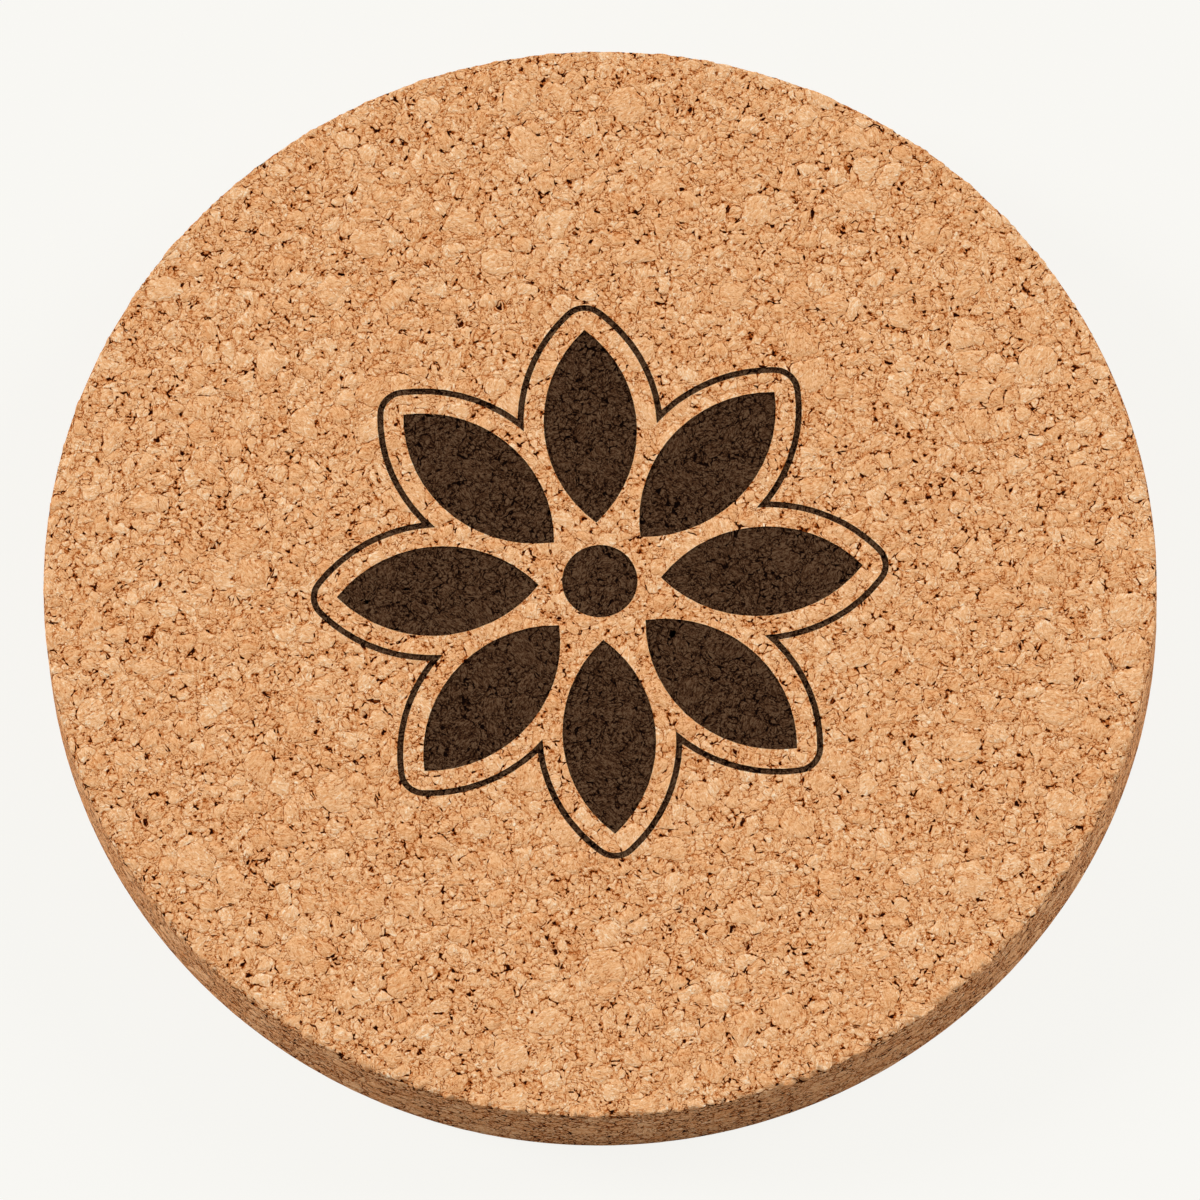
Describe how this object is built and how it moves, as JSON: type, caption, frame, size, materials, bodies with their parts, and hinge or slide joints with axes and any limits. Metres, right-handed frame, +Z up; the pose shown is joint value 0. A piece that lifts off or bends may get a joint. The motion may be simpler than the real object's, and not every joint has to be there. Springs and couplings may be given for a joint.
{
  "type": "cork coaster",
  "caption": "Round table coaster die-cut from pressed cork granules, with a plain petal rosette and keyline burnt into its flat top face.",
  "frame": {"origin": "centre of the flat underside, on the surface that the coaster lies on", "axes": "+Z up through the thickness, out of the marked top face; +X along one petal of the rosette"},
  "size_m": [0.1, 0.1, 0.0095],
  "materials": {
    "pressed_cork": "matte, pressed cork granules with fine dark cracks and pits, die-cut rim",
    "charred_cork": "matte, cork granules burnt dark brown, with the grain still showing"
  },
  "bodies": {
    "root": {"cork_disc": "pressed_cork", "char_roundel": "charred_cork", "char_keyline": "charred_cork", "char_petal_1": "charred_cork", "char_petal_2": "charred_cork", "char_petal_3": "charred_cork", "char_petal_4": "charred_cork", "char_petal_5": "charred_cork", "char_petal_6": "charred_cork", "char_petal_7": "charred_cork", "char_petal_8": "charred_cork"}
  },
  "joints": []
}
